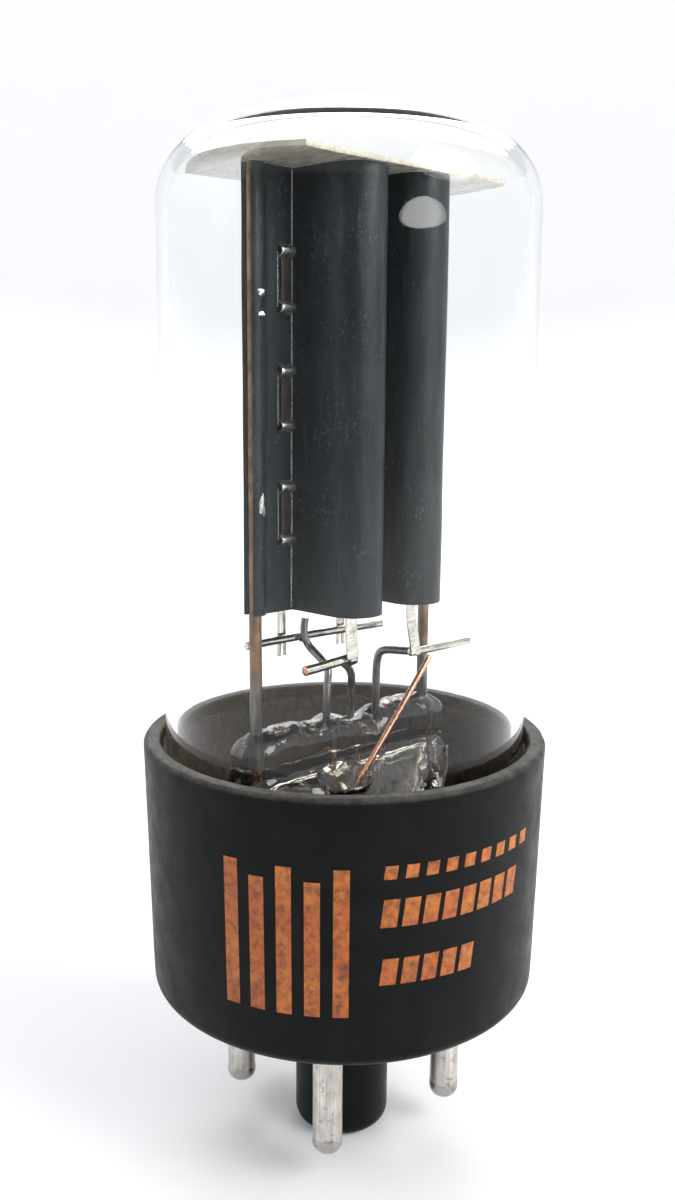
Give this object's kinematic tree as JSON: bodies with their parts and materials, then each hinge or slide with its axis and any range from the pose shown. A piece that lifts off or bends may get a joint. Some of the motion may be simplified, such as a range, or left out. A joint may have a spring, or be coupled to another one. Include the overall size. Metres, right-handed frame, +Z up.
{
  "type": "vacuum tube",
  "caption": "Glass-bulb rectifier tube with dark sheet-metal plates, a flat glass press, a top mica, and a black moulded octal base with pins and a centre key.",
  "frame": {"origin": "centre of the moulded base's underside, which is the seat on the socket, on the tube's axis", "axes": "+Z up the tube's axis towards the dome; pin 1 on +Y; pins 2, 4, 6 and 8 on the diagonals, numbered anticlockwise seen from above"},
  "size_m": [0.0322, 0.0322, 0.0821],
  "materials": {
    "bulb_glass": "clear, thin, slightly dusty",
    "stem_glass": "clear, thick, rippled where it was pressed",
    "moulded_base": "black phenolic moulding, worn satin with fine scratches and a rubbed rim",
    "cement": "brown, grainy, baked cement",
    "pin_plate": "dull tinned brass with lengthwise scratches",
    "solder": "dull solder, smooth",
    "lead_wire": "tinned wire",
    "copper": "bright copper cladding",
    "dark_plate": "carbonised nickel, matt blue-black with pale specks and worn bright edges",
    "support_rod": "nickel discoloured by heat from brown to grey",
    "mica": "thin, milky, slightly translucent sheet",
    "oxide_coating": "white, chalky",
    "nickel": "drawn nickel wire, polished by its drawing",
    "dark_nickel": "nickel wire dulled by heat"
  },
  "bodies": {
    "root": {"glass_bulb": "bulb_glass", "glass_stem": "stem_glass", "exhaust_tube": "stem_glass", "base_shell": "moulded_base", "basing_cement": "cement", "pin_1": "pin_plate", "pin_2": "pin_plate", "pin_4": "pin_plate", "pin_6": "pin_plate", "pin_8": "pin_plate", "pin_solder": "solder", "lead_2": "lead_wire", "lead_4": "lead_wire", "lead_6": "lead_wire", "lead_8": "lead_wire", "seal_wires": "copper", "plate_1": "dark_plate", "plate_2": "dark_plate", "plate_1_rod": "support_rod", "plate_2_rod": "support_rod", "top_mica": "mica", "filament_1": "oxide_coating", "filament_2": "oxide_coating", "filament_tabs": "nickel", "filament_hook_1": "nickel", "filament_hook_2": "nickel", "rear_bar": "nickel", "rear_bar_support": "dark_nickel", "front_bar_1": "nickel", "front_bar_1_lead": "dark_nickel", "front_bar_2": "nickel", "front_bar_2_lead": "dark_nickel", "copper_wire": "copper"}
  },
  "joints": []
}
